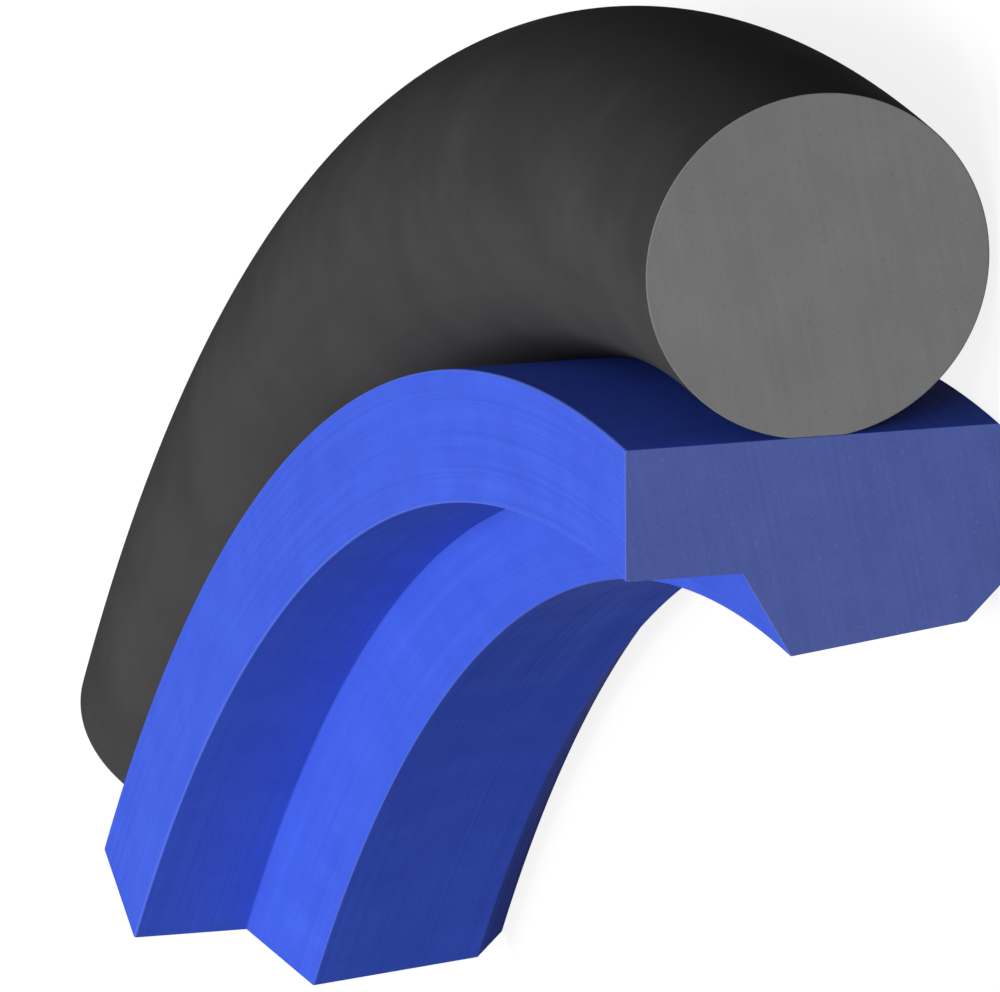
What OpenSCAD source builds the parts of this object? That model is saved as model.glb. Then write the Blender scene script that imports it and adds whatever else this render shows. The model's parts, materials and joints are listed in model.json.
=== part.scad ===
// Rod seal: a stepped slide ring with a lip on its bore, and the rubber O-ring
// that presses it onto the rod. Shown as a short sample cut from the two rings.
// It lies on its heel face: +Z runs along the rod axis, toward the pressure side.

/* [Rod and groove] */
// Diameter of the rod that the seal runs on
rod_d = 75; // [38:0.5:200]
// How far the free lip stands in past the rod's surface, on the radius
lip_bite = 0.27; // [0.05:0.01:0.6]

/* [Slide ring] */
// Width of the slide ring along the rod
ring_w = 5.83; // [5:0.01:9]
// Radial height of the slide ring at its lip
ring_h = 3.37; // [2.2:0.01:5]
// Radial depth of the step bore behind the lip, on the pressure side
step_h = 1.34; // [0.4:0.01:1.8]
// Length of the step bore from the pressure face
step_w = 1.81; // [0.6:0.01:2.5]
// Length of the steep ramp from the step bore down to the lip
ramp_w = 0.75; // [0.3:0.01:1.2]
// Angle of the land behind the lip, opening away from the rod, in degrees
land_taper = 7.2; // [2:0.1:12]
// Chamfer at the heel, where the land meets the flank
heel_c = 0.53; // [0.1:0.01:0.8]

/* [O-ring] */
// Section diameter of the O-ring
cord_d = 5.33; // [3.53:0.01:7]
// How far the O-ring sits from mid width, toward the heel
cord_shift = 0.08; // [-0.5:0.01:0.5]
// Clearance between the O-ring and the slide ring that it sits on
seat_gap = 0.02; // [0.01:0.01:0.1]

/* [Cut sample] */
// Complete rings instead of the sample that is cut from them
whole_ring = false; // [false, true]
// Angle of ring in the sample, measured on the slide ring's outer edge, in degrees
cut_angle = 49.5; // [15:0.5:90]
// How far the second cut leans away from the radius, in degrees
cut_lean = 12.6; // [0:0.1:25]

/* [Hidden] */
$fn = 240;

// Radii of the slide ring's section, from the rod outward
lip_r = rod_d / 2 - lip_bite;
step_r = lip_r + step_h;
ring_r = lip_r + ring_h;
land_w = ring_w - step_w - ramp_w - heel_c;
land_r = lip_r + land_w * tan(land_taper);
heel_r = land_r + heel_c;

// Heights above the heel flank that the sample lies on
lip_z = heel_c + land_w;
step_z = ring_w - step_w;

// Seat of the O-ring on the slide ring's outer face
cord_r = cord_d / 2;
cord_z = ring_w / 2 - cord_shift;
seat_r = ring_r + seat_gap + cord_r;

// The origin is the middle of the heel flank, half way along the sample
base_r = (heel_r + ring_r) / 2;
// Half planes of the two cuts reach this far, past all of both rings
reach = 3 * (seat_r + cord_r);

// Section of the slide ring: pressure face, step, ramp, lip, land, heel and flank
module ring_section() {
    polygon([
        [ring_r, ring_w],
        [step_r, ring_w],
        [step_r, step_z],
        [lip_r, lip_z],
        [land_r, heel_c],
        [heel_r, 0],
        [ring_r, 0]
    ]);
}

// Section of the O-ring, seated on the slide ring's outer face
module cord_section() {
    translate([seat_r, cord_z])
        circle(r = cord_r);
}

// First cut: keeps what lies past a radial plane
module first_cut() {
    rotate(90 - cut_angle / 2)
        translate([-reach, 0])
            square([2 * reach, reach]);
}

// Second cut: keeps what lies before a plane that leans off the radius
module second_cut() {
    rotate(90 + cut_angle / 2)
        translate([ring_r, 0])
            rotate(cut_lean)
                translate([-reach, -reach])
                    square([2 * reach, reach]);
}

// Block of space that the sample is cut from, between the two cuts
module sample_block() {
    translate([0, 0, -ring_w])
        linear_extrude(height = 3 * ring_w)
            intersection() {
                first_cut();
                second_cut();
            }
}

// Turns a section into its ring, then cuts the sample out of it
module turned() {
    translate([0, -base_r, 0])
        if (whole_ring) {
            rotate_extrude()
                children();
        } else {
            intersection() {
                rotate_extrude()
                    children();
                sample_block();
            }
        }
}

// Stepped slide ring of filled fluoropolymer, blue
module seal_ring() {
    color([0.27, 0.40, 0.90])
        turned()
            ring_section();
}

// Rubber O-ring that energises the slide ring, near black
module o_ring() {
    color([0.20, 0.20, 0.20])
        turned()
            cord_section();
}

seal_ring();
o_ring();
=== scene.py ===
import json
import math

import bpy
from mathutils import Matrix, Vector


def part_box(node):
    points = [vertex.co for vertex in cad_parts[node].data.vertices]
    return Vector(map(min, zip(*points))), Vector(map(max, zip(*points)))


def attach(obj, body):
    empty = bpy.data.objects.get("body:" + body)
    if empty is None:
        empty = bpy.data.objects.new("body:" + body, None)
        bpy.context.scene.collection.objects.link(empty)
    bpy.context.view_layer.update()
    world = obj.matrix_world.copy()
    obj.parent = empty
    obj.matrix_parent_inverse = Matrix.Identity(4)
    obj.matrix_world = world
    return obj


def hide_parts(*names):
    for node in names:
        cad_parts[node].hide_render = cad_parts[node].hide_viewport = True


# Sample cut from a two-piece rod seal: a blue stepped slide ring and its rubber O-ring.
# Lengths are in millimetres unless a comment says metres. The rod axis is parallel to Z.

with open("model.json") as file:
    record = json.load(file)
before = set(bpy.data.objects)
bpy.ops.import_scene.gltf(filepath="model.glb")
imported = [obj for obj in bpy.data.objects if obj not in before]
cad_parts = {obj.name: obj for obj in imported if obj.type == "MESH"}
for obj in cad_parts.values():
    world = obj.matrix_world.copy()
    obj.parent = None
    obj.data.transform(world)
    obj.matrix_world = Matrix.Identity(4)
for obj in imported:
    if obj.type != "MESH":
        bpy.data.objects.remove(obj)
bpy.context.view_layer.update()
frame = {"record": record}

MM = 0.001

# Sizes that the frame gives

mounts = {mount["name"]: mount for mount in frame["record"]["mounts"]}


def box_mm(node):
    """Lowest and highest corner of a node."""
    return [Vector(corner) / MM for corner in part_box(node)]


def mount_yz(name):
    """Y and Z of a mount."""
    return [c / MM for c in mounts[name]["pos_m"][1:]]


def inner_radius(face):
    """Inner radius of a flat face that reaches out to RING_R. Its mount is at mid width."""
    middle, _ = mount_yz(face)
    return 2 * (middle - AXIS_Y) - RING_R


# Slide ring: radii from the rod axis, heights above the heel flank that the sample lies on
_, ring_high = box_mm("seal_ring")
lip_y, LIP_Z = mount_yz("rod_lip")
LIP_R = mounts["rod_lip"]["dims"]["r_mm"]
AXIS_Y = lip_y - LIP_R
RING_R, RING_W = ring_high.y - AXIS_Y, ring_high.z
STEP_R, HEEL_R = inner_radius("pressure_face"), inner_radius("flank_face")
# Length of the step bore, and the heel chamfer
STEP_W, HEEL_C = 1.81, 0.53
STEP_Z = RING_W - STEP_W
LAND_R = HEEL_R - HEEL_C

# O-ring: radius and height of its section, and how far it is pressed flat on the slide ring
cord_low, cord_high = box_mm("o_ring")
CORD_R = (cord_high.z - cord_low.z) / 2
CORD_Z = (cord_high.z + cord_low.z) / 2
SQUEEZE = 0.035
SEAT_R = RING_R - SQUEEZE + CORD_R

# The two cuts: the first is radial, the second leans away from the radius
CUT_HALF, CUT_LEAN = math.asin(ring_high.x / RING_R), math.radians(12.6)
FIRST_CUT = math.pi / 2 - CUT_HALF
SECOND_CUT = math.pi / 2 + CUT_HALF
SECOND_WAY = SECOND_CUT + CUT_LEAN
FIRST_FACE = Vector((math.sin(FIRST_CUT), -math.cos(FIRST_CUT), 0))
SECOND_FACE = Vector((-math.sin(SECOND_WAY), math.cos(SECOND_WAY), 0))

# Mesh: steps round a corner, over a cut's edge, round the O-ring and from cut to cut
CORNER_STEPS, EDGE_STEPS, CORD_STEPS, STEPS_ALONG = 5, 4, 180, 220
# Longest stretch of an outline, and how far two normals of one straight stretch may differ
LONGEST, SAME_WAY = 0.3, 1e-6
# Roundings of the edges at the cuts
RING_EDGE, CORD_EDGE = 0.02, 0.025


# Sections

# An outline is a list of points with their outward normals and edge marks. A mark is 1 on the
# crest of an outer edge, -1 in an inner one and 0 elsewhere.

def turned(v, angle):
    """A flat vector turned by an angle."""
    return Vector((v.x * math.cos(angle) - v.y * math.sin(angle),
                   v.x * math.sin(angle) + v.y * math.cos(angle)))


def rounded_corner(before, here, after, radius):
    """Stretch of an outline round one corner."""
    into, out = (here - before).normalized(), (after - here).normalized()
    turn = math.atan2(into.x * out.y - into.y * out.x, into.dot(out))
    side = 1 if turn > 0 else -1
    start = here - into * radius * math.tan(abs(turn) / 2)
    normal = Vector((into.y, -into.x))
    centre = start - normal * radius * side
    stretch = []
    for k in range(CORNER_STEPS + 1):
        n = turned(normal, turn * k / CORNER_STEPS)
        mark = side * math.sin(math.pi * k / CORNER_STEPS)
        stretch.append((centre + n * radius * side, n, mark))
    return stretch


def with_straights_split(outline):
    """The outline with points added along its straight stretches, LONGEST apart at most."""
    filled = []
    for i, (p, n, mark) in enumerate(outline):
        q, m, _ = outline[(i + 1) % len(outline)]
        filled.append((p, n, mark))
        gap = (q - p).length
        if (n - m).length < SAME_WAY and gap > LONGEST:
            pieces = math.ceil(gap / LONGEST)
            filled += [(p.lerp(q, k / pieces), n.copy(), 0.0) for k in range(1, pieces)]
    return filled


def ring_section():
    """Closed outline of the slide ring."""
    # Radius, height and rounding of each corner
    corners = [
        (RING_R, 0.0, 0.05),
        (RING_R, RING_W, 0.05),
        (STEP_R, RING_W, 0.04),
        (STEP_R, STEP_Z, 0.03),
        (LIP_R, LIP_Z, 0.035),
        (LAND_R, HEEL_C, 0.04),
        (HEEL_R, 0.0, 0.04),
    ]
    places = [Vector((r, z)) for r, z, _ in corners]
    outline = []
    for i, (_, _, rounding) in enumerate(corners):
        after = places[(i + 1) % len(places)]
        outline += rounded_corner(places[i - 1], places[i], after, rounding)
    return with_straights_split(outline)


def cord_section():
    """Closed outline of the O-ring: round, and pressed flat where it sits on the slide ring."""
    outline = []
    for k in range(CORD_STEPS):
        a = math.pi + 2 * math.pi * k / CORD_STEPS
        r, z = SEAT_R + CORD_R * math.cos(a), CORD_Z + CORD_R * math.sin(a)
        pressed = r < RING_R
        normal = Vector((-1.0, 0.0)) if pressed else Vector((math.cos(a), math.sin(a)))
        outline.append((Vector((max(r, RING_R), z)), normal, 0.0))
    return outline


# Sweeping a section from cut to cut

def on_first_cut(r, depth):
    """Point at radius r, at that depth behind the first cut."""
    a = FIRST_CUT + math.asin(depth / r)
    return Vector((r * math.cos(a), r * math.sin(a)))


def on_second_cut(r, depth):
    """Point at radius r, at that depth behind the second cut."""
    along = Vector((math.cos(SECOND_WAY), math.sin(SECOND_WAY)))
    face = Vector((-along.y, along.x))
    start = Vector((math.cos(SECOND_CUT), math.sin(SECOND_CUT))) * RING_R - face * depth
    reach = start.dot(along)
    return start + along * (-reach + math.sqrt(reach * reach - start.dot(start) + r * r))


def between_cuts(r, depth, share):
    """Point at radius r, a share of the way from that depth behind one cut to the other's."""
    a, b = on_first_cut(r, depth), on_second_cut(r, depth)
    low, high = math.atan2(a.y, a.x), math.atan2(b.y, b.x)
    turn = low + (high - low) * share
    return Vector((math.cos(turn), math.sin(turn))) * r


def rows_along():
    """Rows of the sweep: the part that they belong to, and how far through it they are."""
    rows = [("first", k / EDGE_STEPS) for k in range(EDGE_STEPS)]
    rows += [("body", k / STEPS_ALONG) for k in range(STEPS_ALONG + 1)]
    rows += [("second", 1 - k / EDGE_STEPS) for k in range(1, EDGE_STEPS + 1)]
    return rows


def run_round(section):
    """Length of the outline from its first point to each point."""
    run = [0.0]
    for here, after in zip(section, section[1:]):
        run.append(run[-1] + (after[0] - here[0]).length)
    return run


def swept_points(section, rows, edge_r):
    """Point, normal, edge mark and run of each vertex. The run is round the section and along the ring."""
    points, normals, edges, runs = [], [], [], []
    run = run_round(section)
    for kind, share in rows:
        bend = 0.0 if kind == "body" else math.pi / 2 * (1 - share)
        inset = edge_r * (1 - math.cos(bend))
        depth = edge_r * (1 - math.sin(bend))
        for so_far, (p, n, mark) in zip(run, section):
            r, z = p.x - n.x * inset, p.y - n.y * inset
            if kind == "first":
                xy, face = on_first_cut(r, depth), FIRST_FACE
            elif kind == "second":
                xy, face = on_second_cut(r, depth), SECOND_FACE
            else:
                xy, face = between_cuts(r, edge_r, share), Vector()
            radial = xy.normalized()
            side = Vector((radial.x * n.x, radial.y * n.x, n.y))
            points.append(Vector((xy.x, xy.y + AXIS_Y, z)) * MM)
            normals.append((side * math.cos(bend) + face * math.sin(bend)).normalized())
            edges.append(mark if kind == "body" else math.sin(2 * bend))
            runs.append((so_far, SEAT_R * (math.atan2(xy.y, xy.x) - FIRST_CUT), 0.0))
    return points, normals, edges, runs


def swept_faces(across, rows):
    """Faces between the rows and at the two cuts, and the material slot of each."""
    faces, slots = [], []
    for j in range(rows - 1):
        at_cut = j < EDGE_STEPS // 2 or j >= rows - 1 - EDGE_STEPS // 2
        here, after = j * across, (j + 1) * across
        for i in range(across):
            k = (i + 1) % across
            faces.append((here + i, after + i, after + k, here + k))
            slots.append(1 if at_cut else 0)
    faces.append(tuple(range(across)))
    faces.append(tuple(reversed(range((rows - 1) * across, rows * across))))
    return faces, slots + [1, 1]


def sweep(name, section, edge_r, materials):
    """Piece turned from one cut to the other. Its materials are the ring's own and the cut faces'."""
    rows = rows_along()
    points, normals, edges, runs = swept_points(section, rows, edge_r)
    faces, slots = swept_faces(len(section), len(rows))
    mesh = bpy.data.meshes.new(name)
    mesh.from_pydata(points, [], faces)
    mesh.update()
    if mesh.polygons[0].normal.dot(normals[faces[0][0]]) < 0:
        mesh.flip_normals()
    for material in materials:
        mesh.materials.append(material)
    mesh.polygons.foreach_set("material_index", slots)
    mesh.polygons.foreach_set("use_smooth", [True] * len(faces))
    mesh.attributes.new("edge", "FLOAT", "POINT").data.foreach_set("value", edges)
    run = mesh.attributes.new("run", "FLOAT_VECTOR", "POINT")
    run.data.foreach_set("vector", [c for v in runs for c in v])
    mesh.normals_split_custom_set_from_vertices(normals)
    piece = bpy.data.objects.new(name, mesh)
    bpy.context.scene.collection.objects.link(piece)
    return piece


# Materials

# Range that most of a noise's values lie in
NOISE_LOW, NOISE_HIGH = 0.3, 0.7
# Turn of the blade's lines on the cut faces, in radians
SAW_TURN = 0.42
# Next to no gloss: white surroundings would pale the colours at a low angle
BLUE_IOR, BLUE_GLOSS = 1.36, 0.003
RUBBER_IOR, RUBBER_GLOSS = 1.5, 0.001


def linear(*srgb):
    """Linear RGBA of a colour written as sRGB from 0 to 255."""
    parts = [c / 255 for c in srgb]
    return [c / 12.92 if c <= 0.04045 else ((c + 0.055) / 1.055) ** 2.4 for c in parts] + [1.0]


def grey(tone):
    """Linear RGBA of a grey, from 0 for black to 1 for white."""
    return (tone, tone, tone, 1.0)


class Tree:
    """A material's node tree, with short calls that add a node and return its output."""

    def __init__(self, name):
        self.material = bpy.data.materials.new(name)
        self.material.use_nodes = True
        self.nodes = self.material.node_tree.nodes
        self.links = self.material.node_tree.links
        self.nodes.clear()

    def put(self, socket, value):
        """Links a node's output to a socket, or sets the socket's own value."""
        if isinstance(value, bpy.types.NodeSocket):
            self.links.new(value, socket)
        else:
            socket.default_value = value

    def add(self, kind, settings=None, out=0, **inputs):
        """Adds a node. Its inputs are given by name, or by number as i0, i1 and so on."""
        node = self.nodes.new("ShaderNode" + kind)
        for key, value in (settings or {}).items():
            setattr(node, key, value)
        for key, value in inputs.items():
            numbered = key[0] == "i" and key[1:].isdigit()
            self.put(node.inputs[int(key[1:]) if numbered else key.replace("_", " ")], value)
        return node.outputs[out]

    def place(self):
        """Place on the object, in millimetres."""
        return self.scaled(self.add("TexCoord", out=3), 1 / MM, 1 / MM, 1 / MM)

    def run(self):
        """Distance round the section and along the ring."""
        return self.add("Attribute", {"attribute_name": "run"}, out=1)

    def edge(self):
        """Edge mark: 1 on the crest of an outer edge."""
        return self.add("Attribute", {"attribute_name": "edge"}, out=2)

    def math(self, operation, a, b=0.0):
        return self.add("Math", {"operation": operation}, i0=a, i1=b)

    def scaled(self, vector, x, y, z):
        return self.add("VectorMath", {"operation": "MULTIPLY"}, i0=vector, i1=(x, y, z))

    def noise(self, vector, scale, detail=2.0, rough=0.5):
        """Noise with about that many features to each unit of the vector."""
        settings = {"noise_dimensions": "3D"}
        return self.add("TexNoise", settings, Vector=vector, Scale=scale, Detail=detail, Roughness=rough)

    def streaks(self, width, length, detail, rough=0.5):
        """Noise of that width round the section, drawn out to that length along the ring."""
        return self.noise(self.scaled(self.run(), 1 / width, 1 / length, 1), 1.0, detail, rough)

    def saw_lines(self, place, along, across):
        """The blade's fine parallel lines, with that many features to the millimetre each way."""
        turn = (0.0, SAW_TURN, 0.0)
        mapped = self.add("Mapping", {"vector_type": "POINT"}, Vector=place, Rotation=turn)
        return self.noise(self.scaled(mapped, along, along, across), 1.0, 3.0, 0.6)

    def span(self, value, low, high, to_low, to_high):
        """A value from low to high turned into one from to_low to to_high, and kept within them."""
        ends = {"From_Min": low, "From_Max": high, "To_Min": to_low, "To_Max": to_high}
        return self.add("MapRange", {"clamp": True}, Value=value, **ends)

    def vary(self, noise, to_low, to_high):
        """A noise spread over a range."""
        return self.span(noise, NOISE_LOW, NOISE_HIGH, to_low, to_high)

    def mix(self, share, a, b):
        node = self.nodes.new("ShaderNodeMix")
        node.data_type = "RGBA"
        for index, value in ((0, share), (6, a), (7, b)):
            self.put(node.inputs[index], value)
        return node.outputs[2]

    def tint(self, under, mask, low, high, share, color):
        """Covers up to a share of a colour with another, as the mask goes from low to high."""
        return self.mix(self.span(mask, low, high, 0.0, share), under, linear(*color))

    def cloudy(self, noise, dark, pale):
        """A colour that wanders between two."""
        return self.mix(self.vary(noise, 0.0, 1.0), linear(*dark), linear(*pale))

    def bump(self, height, depth_mm, normal=None):
        """Normal that a height of that depth gives, on top of an earlier one."""
        node = self.nodes.new("ShaderNodeBump")
        node.inputs["Strength"].default_value = 1.0
        node.inputs["Distance"].default_value = depth_mm * MM
        self.links.new(height, node.inputs["Height"])
        if normal is not None:
            self.links.new(normal, node.inputs["Normal"])
        return node.outputs["Normal"]

    def surface(self, color, roughness, normal, ior, gloss):
        """Ends the tree with its shader and returns the material."""
        shader = self.nodes.new("ShaderNodeBsdfPrincipled")
        self.links.new(color, shader.inputs["Base Color"])
        self.links.new(roughness, shader.inputs["Roughness"])
        self.links.new(normal, shader.inputs["Normal"])
        shader.inputs["IOR"].default_value = ior
        shader.inputs["Specular IOR Level"].default_value = gloss
        out = self.nodes.new("ShaderNodeOutputMaterial")
        self.links.new(shader.outputs[0], out.inputs["Surface"])
        return self.material


def turned_blue():
    """Filled fluoropolymer, turned: fine feed lines round the ring, faint cloudiness, rubbed edges."""
    t = Tree("turned_blue")
    place = t.place()
    edge = t.edge()
    feed = t.streaks(0.055, 14, 2.0, 0.55)
    broad = t.streaks(0.4, 30, 1.0)
    cloud = t.noise(place, 0.9, 3.0, 0.6)
    fleck = t.noise(place, 16.0, 2.0, 0.6)
    base = t.cloudy(cloud, (71, 102, 235), (77, 110, 245))
    lined = t.tint(base, feed, 0.38, 0.66, 0.4, (62, 92, 219))
    flecked = t.tint(lined, fleck, 0.64, 0.74, 0.3, (120, 148, 246))
    rubbed = t.tint(flecked, edge, 0.15, 0.9, 0.3, (128, 154, 248))
    rough = t.math("ADD", t.vary(feed, 0.42, 0.54), t.span(edge, 0.0, 1.0, 0.0, -0.08))
    normal = t.bump(broad, 0.004, t.bump(feed, 0.003))
    normal = t.bump(fleck, 0.0008, normal)
    return t.surface(rubbed, rough, normal, BLUE_IOR, BLUE_GLOSS)


def sawn_blue():
    """The slide ring's cut faces: paler and matt, with the blade's fine parallel lines."""
    t = Tree("sawn_blue")
    place = t.place()
    lines = t.saw_lines(place, 0.35, 14.0)
    cloud = t.noise(place, 1.3, 3.0, 0.6)
    fleck = t.noise(place, 18.0, 2.0, 0.6)
    base = t.cloudy(cloud, (95, 111, 189), (100, 117, 196))
    lined = t.tint(base, lines, 0.35, 0.65, 0.35, (86, 102, 176))
    flecked = t.tint(lined, fleck, 0.62, 0.72, 0.35, (134, 149, 208))
    rubbed = t.tint(flecked, t.edge(), 0.2, 0.9, 0.2, (136, 153, 220))
    normal = t.bump(fleck, 0.001, t.bump(lines, 0.003))
    return t.surface(rubbed, t.vary(lines, 0.6, 0.72), normal, BLUE_IOR, BLUE_GLOSS)


def moulded_rubber():
    """Matt black rubber: fine moulded grain, soft marks, faint cloudiness, and painted shade that darkens
    the crest.
    """
    # Distances from the crest, round the section, where the painted shade starts to fade and where it is
    # gone
    shade_fade_start, shade_fade_end = 1.7, 4.5
    t = Tree("moulded_rubber")
    place = t.place()
    bloom = t.noise(place, 0.45, 4.0, 0.6)
    streak = t.streaks(0.5, 7, 3.0, 0.6)
    grain = t.noise(place, 15.0, 3.0, 0.65)
    base = t.cloudy(bloom, (70, 70, 71), (78, 78, 78))
    round_section = t.add("SeparateXYZ", Vector=t.run())
    from_crest = t.math("ABSOLUTE", t.math("SUBTRACT", round_section, math.pi * CORD_R))
    uneven = t.math("ADD", from_crest, t.vary(bloom, -0.5, 0.5))
    # Painted shade: round the crest the rubber is darkened, up to 0.9 of the way to a darker grey, fading
    # out away from the crest
    crest_shaded = t.mix(t.span(uneven, shade_fade_start, shade_fade_end, 0.9, 0.0), base, linear(54, 54, 55))
    streaked = t.tint(crest_shaded, streak, 0.45, 0.75, 0.2, (60, 60, 61))
    speckled = t.tint(streaked, grain, 0.6, 0.75, 0.25, (84, 84, 84))
    normal = t.bump(grain, 0.004, t.bump(streak, 0.004))
    return t.surface(speckled, t.vary(bloom, 0.66, 0.78), normal, RUBBER_IOR, RUBBER_GLOSS)


def cut_rubber():
    """The O-ring's cut faces: paler grey, with the blade's faint parallel lines and open specks."""
    t = Tree("cut_rubber")
    place = t.place()
    lines = t.saw_lines(place, 0.25, 7.0)
    cloud = t.noise(place, 0.8, 3.0, 0.6)
    speck = t.noise(place, 22.0, 2.0, 0.6)
    base = t.cloudy(cloud, (139, 139, 139), (147, 147, 147))
    lined = t.tint(base, lines, 0.35, 0.65, 0.3, (131, 131, 132))
    specked = t.tint(lined, speck, 0.62, 0.72, 0.45, (103, 103, 103))
    normal = t.bump(speck, 0.0015, t.bump(lines, 0.003))
    return t.surface(specked, t.vary(lines, 0.64, 0.76), normal, RUBBER_IOR, RUBBER_GLOSS)


# Pieces

ring = sweep("slide_ring", ring_section(), RING_EDGE, [turned_blue(), sawn_blue()])
cord = sweep("rubber_o_ring", cord_section(), CORD_EDGE, [moulded_rubber(), cut_rubber()])
for piece, node, slot in ((ring, "seal_ring", "ring_blue"), (cord, "o_ring", "rubber_black")):
    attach(piece, "root")
    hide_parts(node)


# Floor and world

# Tone of the floor where it is seen, its tone where it throws light back, and its own light
FLOOR_TONE, FLOOR_BOUNCE, FLOOR_GLOW = 0.2, 0.14, 0.86
# Half the floor's side and its place just under the sample, in metres
FLOOR_HALF, FLOOR_Z = 6.0, -0.00002
# Strength of the world as a light, and where it is seen
WORLD_FILL, WORLD_SEEN = 0.08, 1.0


def seen_directly(nodes, links):
    """1 for camera, glossy and transmission rays, 0 for the rest."""
    path = nodes.new("ShaderNodeLightPath")
    share = path.outputs["Is Camera Ray"]
    for ray in ("Is Glossy Ray", "Is Transmission Ray"):
        top = nodes.new("ShaderNodeMath")
        top.operation = "MAXIMUM"
        links.new(share, top.inputs[0])
        links.new(path.outputs[ray], top.inputs[1])
        share = top.outputs[0]
    return share


def pale_floor():
    """White where it is seen, with the sample's shadow, and a grey card where it throws light back."""
    t = Tree("pale_floor")
    tone = t.add("BsdfDiffuse", Color=grey(FLOOR_TONE))
    glow = t.add("Emission", Color=grey(1.0), Strength=FLOOR_GLOW)
    bounce = t.add("BsdfDiffuse", Color=grey(FLOOR_BOUNCE))
    seen = t.add("AddShader", i0=tone, i1=glow)
    both = t.add("MixShader", i0=seen_directly(t.nodes, t.links), i1=bounce, i2=seen)
    t.links.new(both, t.nodes.new("ShaderNodeOutputMaterial").inputs["Surface"])
    return t.material


def studio_world():
    """World that is white where it is seen, and fills the shadows a little."""
    world = bpy.data.worlds.new("studio")
    world.use_nodes = True
    nodes, links = world.node_tree.nodes, world.node_tree.links
    nodes.clear()
    both = nodes.new("ShaderNodeMixShader")
    links.new(seen_directly(nodes, links), both.inputs[0])
    for index, strength in ((1, WORLD_FILL), (2, WORLD_SEEN)):
        background = nodes.new("ShaderNodeBackground")
        background.inputs["Color"].default_value = grey(1.0)
        background.inputs["Strength"].default_value = strength
        links.new(background.outputs[0], both.inputs[index])
    links.new(both.outputs[0], nodes.new("ShaderNodeOutputWorld").inputs["Surface"])
    return world


floor_corners = [(x * FLOOR_HALF, y * FLOOR_HALF, 0) for x, y in ((-1, -1), (1, -1), (1, 1), (-1, 1))]
floor_mesh = bpy.data.meshes.new("floor")
floor_mesh.from_pydata(floor_corners, [], [(0, 1, 2, 3)])
floor_mesh.materials.append(pale_floor())
floor = bpy.data.objects.new("floor", floor_mesh)
bpy.context.scene.collection.objects.link(floor)
floor.location.z = FLOOR_Z

bpy.context.scene.world = studio_world()


# Lamps

# Distance and width of the round soft boxes, in metres
LAMP_DISTANCE, LAMP_SIZE = 0.5, 0.30


def direction(azimuth, elevation):
    """Unit vector from the sample toward that azimuth (0 is -Y, 90 is +X) and elevation."""
    a, e = math.radians(azimuth), math.radians(elevation)
    return Vector((math.sin(a) * math.cos(e), -math.cos(a) * math.cos(e), math.sin(e)))


def soft_lamp(name, azimuth, elevation, level):
    """Round soft box; a white card facing it renders at about level."""
    lamp = bpy.data.lights.new(name, "AREA")
    lamp.shape, lamp.size = "DISK", LAMP_SIZE
    spread = math.atan(LAMP_SIZE / 2 / LAMP_DISTANCE)
    lamp.energy = level * (math.pi * LAMP_SIZE / 2 / math.sin(spread)) ** 2
    holder = bpy.data.objects.new(name, lamp)
    bpy.context.scene.collection.objects.link(holder)
    towards = direction(azimuth, elevation)
    holder.location = towards * LAMP_DISTANCE
    holder.rotation_mode = "QUATERNION"
    holder.rotation_quaternion = towards.to_track_quat("Z", "Y")


soft_lamp("key", azimuth=72, elevation=33, level=0.52)
soft_lamp("top", azimuth=0, elevation=84, level=0.54)


# Camera: a long lens from far away, because the drawing is a parallel view

CAM_AZIMUTH, CAM_ELEVATION, CAM_ROLL = 80.5840, 14.6511, 94.2040
CAM_AIM, CAM_DISTANCE = (-0.1075, -0.1862, 3.2893), 700.7512
CAM_LENS, CAM_SENSOR = 1650.0, 36.0

camera_data = bpy.data.cameras.new("camera")
camera_data.lens, camera_data.sensor_width = CAM_LENS, CAM_SENSOR
camera = bpy.data.objects.new("camera", camera_data)
bpy.context.scene.collection.objects.link(camera)
back = direction(CAM_AZIMUTH, CAM_ELEVATION)
camera.location = (Vector(CAM_AIM) + back * CAM_DISTANCE) * MM
level_turn = back.to_track_quat("Z", "Y").to_matrix()
roll_turn = Matrix.Rotation(-math.radians(CAM_ROLL), 3, "Z")
camera.rotation_mode = "QUATERNION"
camera.rotation_quaternion = (level_turn @ roll_turn).to_quaternion()
bpy.context.scene.camera = camera

bpy.context.scene.view_settings.view_transform = "Standard"
